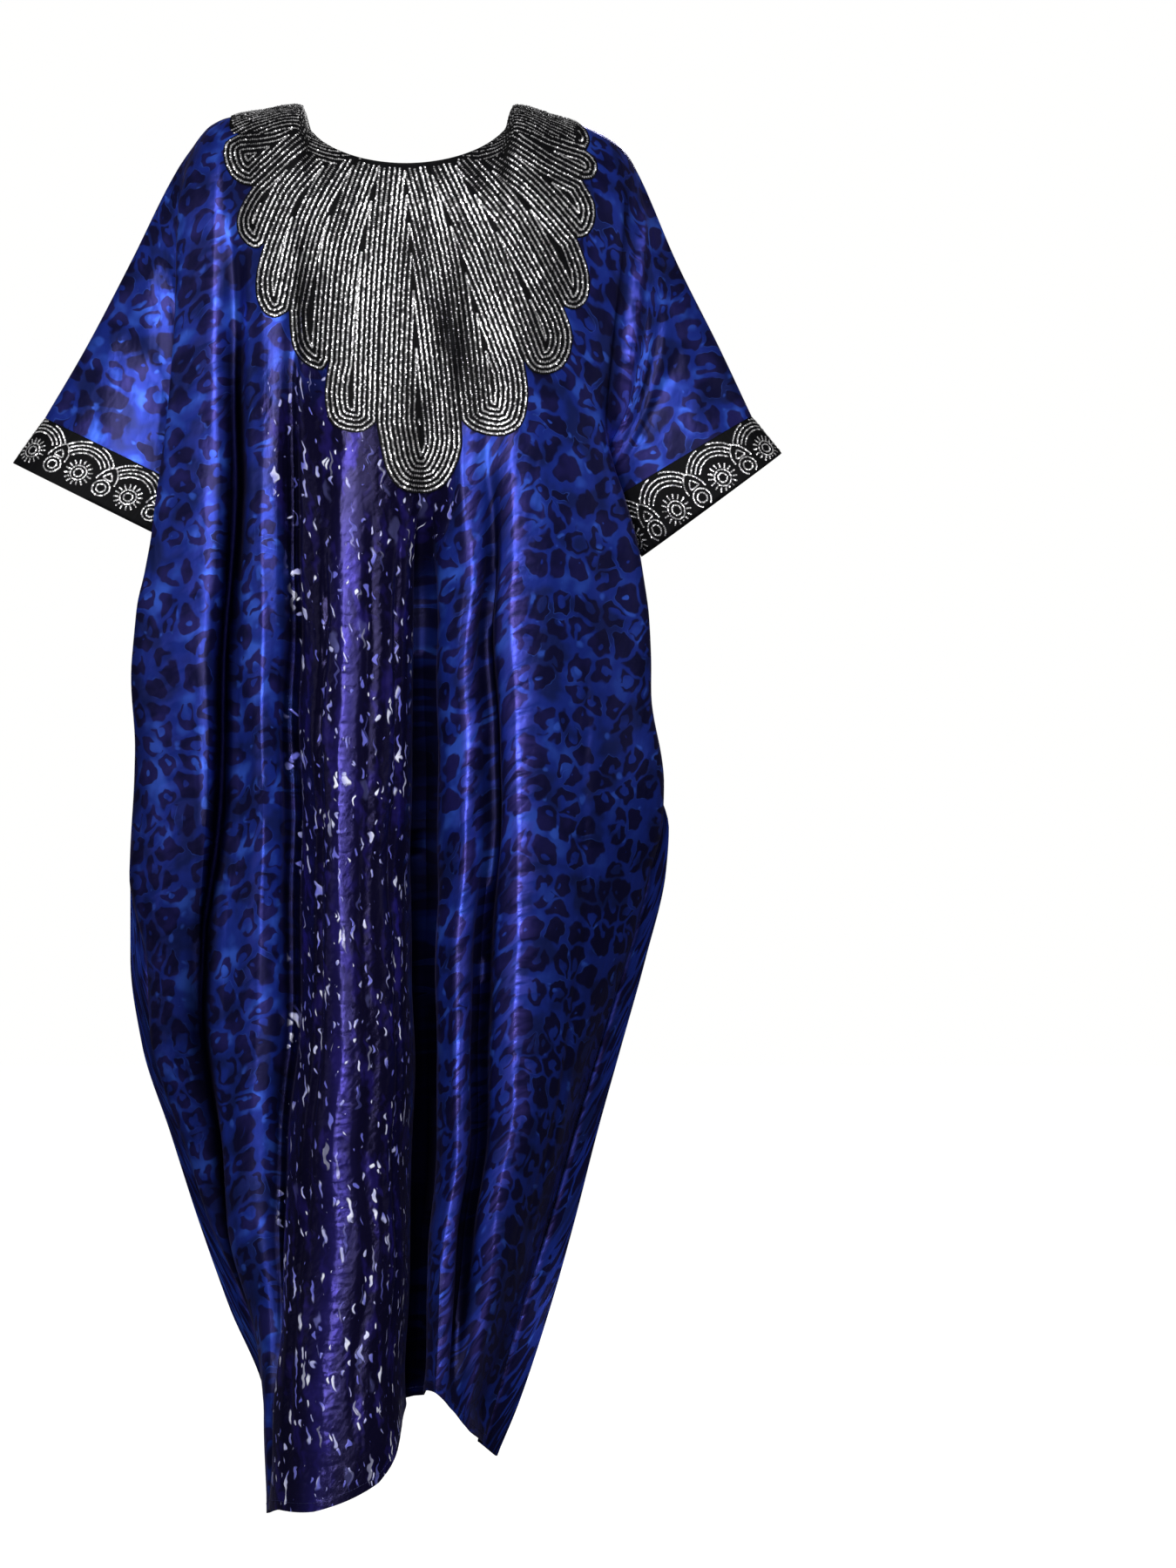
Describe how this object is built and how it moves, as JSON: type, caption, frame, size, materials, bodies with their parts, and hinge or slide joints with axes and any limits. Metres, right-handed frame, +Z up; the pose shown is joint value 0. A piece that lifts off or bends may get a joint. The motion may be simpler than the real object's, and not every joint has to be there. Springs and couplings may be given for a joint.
{
  "type": "grand boubou robe worn hollow",
  "caption": "Long satin boubou robe with wide sleeves cut in one, black cuffs and a scalloped neck bib, worn and hollow.",
  "frame": {"origin": "middle of the neck opening at the height of the neck points, where the wearer's shoulders hold the robe", "axes": "+Z up, -Y is the front of the robe, +X is the wearer's left"},
  "size_m": [0.794, 0.2994, 1.4515],
  "materials": {
    "satin_front": "glossy royal blue satin with dark leopard markings",
    "satin_back": "glossy royal blue satin with dark leopard markings",
    "bib_cloth": "black cloth covered with rows of silver sequins",
    "binding_cloth": "black satin binding",
    "cuff_cloth": "black cloth with silver sequin arches and suns"
  },
  "bodies": {
    "root": {"front_panel": "satin_front", "back_panel": "satin_back", "neck_bib": "bib_cloth", "neck_binding": "binding_cloth", "cuff_left": "cuff_cloth", "cuff_right": "cuff_cloth"}
  },
  "joints": []
}
